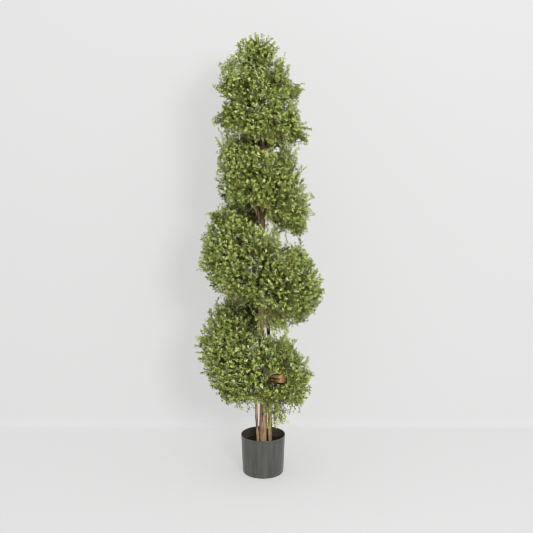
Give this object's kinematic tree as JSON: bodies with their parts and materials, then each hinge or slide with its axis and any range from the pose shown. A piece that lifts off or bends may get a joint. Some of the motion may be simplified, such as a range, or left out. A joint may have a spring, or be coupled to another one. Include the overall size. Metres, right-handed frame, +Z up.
{
  "type": "artificial spiral topiary",
  "caption": "Tall artificial topiary: small oval leaves in a band that winds down round a bundle of bare wooden stems, standing in a plain round tapered nursery pot.",
  "frame": {"origin": "centre of the pot's flat underside", "axes": "+Z up along the trunk, +X to the viewer's right, +Y away from the viewer"},
  "size_m": [0.5099, 0.4865, 1.795],
  "materials": {
    "pot": "satin",
    "filling": "matte",
    "bark": "matte",
    "foliage": "matte"
  },
  "bodies": {
    "root": {"pot": "pot", "filling": "filling", "trunk": "bark", "stem_left": "bark", "stem_right": "bark", "limb_sawn": "bark", "limb_fork": "bark", "bough_1_left": "bark", "bough_1_front": "bark", "bough_1_right": "bark", "bough_1_back": "bark", "bough_2_front": "bark", "bough_2_right": "bark", "bough_2_back": "bark", "bough_3_left": "bark", "bough_3_front": "bark", "bough_3_right": "bark", "bough_3_back": "bark", "bough_4_left": "bark", "bough_4_right": "bark", "foliage_1_left": "foliage", "foliage_1_front": "foliage", "foliage_1_right": "foliage", "foliage_1_back": "foliage", "foliage_2_left": "foliage", "foliage_2_front": "foliage", "foliage_2_right": "foliage", "foliage_2_back": "foliage", "foliage_3_left": "foliage", "foliage_3_front": "foliage", "foliage_3_right": "foliage", "foliage_3_back": "foliage", "foliage_4_left": "foliage", "foliage_4_front": "foliage", "foliage_4_right": "foliage", "foliage_crown_left": "foliage", "foliage_crown_right": "foliage", "foliage_crown_tip": "foliage"}
  },
  "joints": []
}
